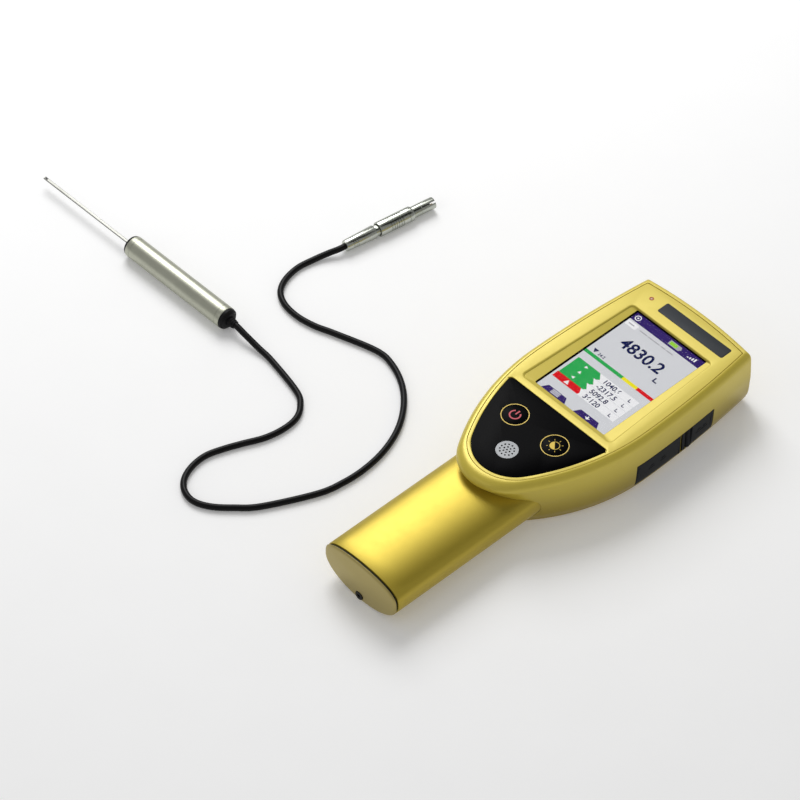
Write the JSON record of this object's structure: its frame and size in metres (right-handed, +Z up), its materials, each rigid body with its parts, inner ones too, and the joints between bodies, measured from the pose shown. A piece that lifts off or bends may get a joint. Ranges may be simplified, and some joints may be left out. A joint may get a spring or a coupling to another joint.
{
  "type": "handheld probe meter",
  "caption": "Handheld meter with a wide head on an oval handle, a lit display, a membrane keypad and a loose needle probe on a lead with a push-pull plug.",
  "frame": {"origin": "on the flat back, in the middle, under the line where the head is widest", "axes": "+X across the meter to its right, +Y along it from the handle to the top end, +Z up out of the display"},
  "size_m": [0.378, 0.2653, 0.0361],
  "materials": {
    "shell_side": "satin moulded plastic, sprayed yellow gold",
    "shell_face": "satin moulded plastic, sprayed pale yellow",
    "handle_gold": "gold metallic paint",
    "cap_yellow": "satin moulded plastic",
    "seal_black": "matt elastomer",
    "cover_rubber": "matt moulded rubber",
    "foam": "closed-cell foam",
    "clear": "clear coated acrylic",
    "lcd": "lit liquid crystal panel",
    "light_plastic": "white moulding",
    "gloss_black": "gloss printed overlay",
    "ring_gold": "thin metal trim",
    "board": "solder-masked glass epoxy",
    "spring_steel": "spring steel",
    "screw_steel": "zinc plated",
    "grille_metal": "etched plate",
    "black_plastic": "moulded",
    "plate_slate": "anodised blank plate",
    "lamp_red": "tinted lens",
    "chip": "epoxy package",
    "can": "tinned steel",
    "socket_metal": "plated brass",
    "cell_wrap": "heat-shrink sleeve",
    "label": "blank label",
    "ribbon": "flexible circuit",
    "stem_metal": "satin nickel",
    "barrel_metal": "champagne anodised, satin",
    "cord": "black flexible jacket",
    "plug_metal": "satin nickel plate",
    "insulator": "moulded insulator",
    "pin_gold": "gold plate"
  },
  "bodies": {
    "meter": {"front_shell": "shell_face", "back_cover": "shell_side", "casing_seal": "seal_black", "casing_screws": "screw_steel", "bezel_panel": "shell_face", "display_gasket": "foam", "display_window": "clear", "lcd_panel": "lcd", "backlight_frame": "light_plastic", "display_ribbon": "ribbon", "keypad_overlay": "gloss_black", "key_rings": "ring_gold", "keypad_board": "board", "key_domes": "spring_steel", "buzzer_grille": "grille_metal", "buzzer": "black_plastic", "name_plate": "plate_slate", "status_lamp": "lamp_red", "main_board": "board", "board_screws": "screw_steel", "processor_chip": "chip", "shield_can": "can", "board_parts": "chip", "usb_socket": "can", "charge_jack": "black_plastic", "card_slot": "can", "probe_socket": "socket_metal", "socket_insert": "black_plastic", "socket_nut": "socket_metal", "cover_pins": "screw_steel", "cover_anchor": "cover_rubber", "handle_tube": "handle_gold", "handle_bracket": "can", "handle_screws": "screw_steel", "contact_block": "black_plastic", "battery_springs": "spring_steel", "rating_plate": "label"},
    "power_key": {"power_key": "gloss_black"},
    "light_key": {"light_key": "gloss_black"},
    "rear_cover": {"port_cover_rear": "cover_rubber"},
    "front_cover": {"port_cover_front": "cover_rubber"},
    "battery_drawer": {"battery_tray": "black_plastic", "battery_cells": "cell_wrap", "end_cap": "cap_yellow", "end_cap_seal": "seal_black", "end_cap_screw": "screw_steel"},
    "probe": {"probe_stem": "stem_metal", "probe_front_cap": "black_plastic", "probe_barrel": "barrel_metal", "probe_rear_cap": "black_plastic", "probe_strain_relief": "seal_black", "sensor_element": "chip", "sensor_board": "board", "probe_cable": "cord", "plug_clamp_nut": "plug_metal", "plug_body": "plug_metal", "plug_insert": "insulator", "plug_pins": "pin_gold"},
    "plug_sleeve": {"plug_sleeve": "plug_metal"}
  },
  "joints": [
    {"name": "power_key_press", "type": "slide", "parent": "meter", "child": "power_key", "axis": [0, 0, -1], "range_m": [0, 0.0004], "stiffness_N_per_m": 3000},
    {"name": "light_key_press", "type": "slide", "parent": "meter", "child": "light_key", "axis": [0, 0, -1], "range_m": [0, 0.0004], "stiffness_N_per_m": 3000},
    {"name": "rear_cover_swing", "type": "hinge", "parent": "meter", "child": "rear_cover", "pos_m": [0.0409, 0.023, 0.0125], "axis": [0, 0, 1], "range_deg": [0, 85]},
    {"name": "front_cover_swing", "type": "hinge", "parent": "meter", "child": "front_cover", "pos_m": [0.0409, 0.03, 0.0125], "axis": [0, 0, -1], "range_deg": [0, 85]},
    {"name": "battery_drawer_slide", "type": "slide", "parent": "meter", "child": "battery_drawer", "axis": [0, -1, 0], "range_m": [0, 0.075]},
    {"name": "probe_slide", "type": "slide", "parent": "meter", "child": "probe", "axis": [-1, 0, 0], "range_m": [0, 0.06]},
    {"name": "plug_sleeve_slide", "type": "slide", "parent": "probe", "child": "plug_sleeve", "axis": [-0.1392, -0.9903, 0], "range_m": [0, 0.0018], "stiffness_N_per_m": 1500}
  ]
}
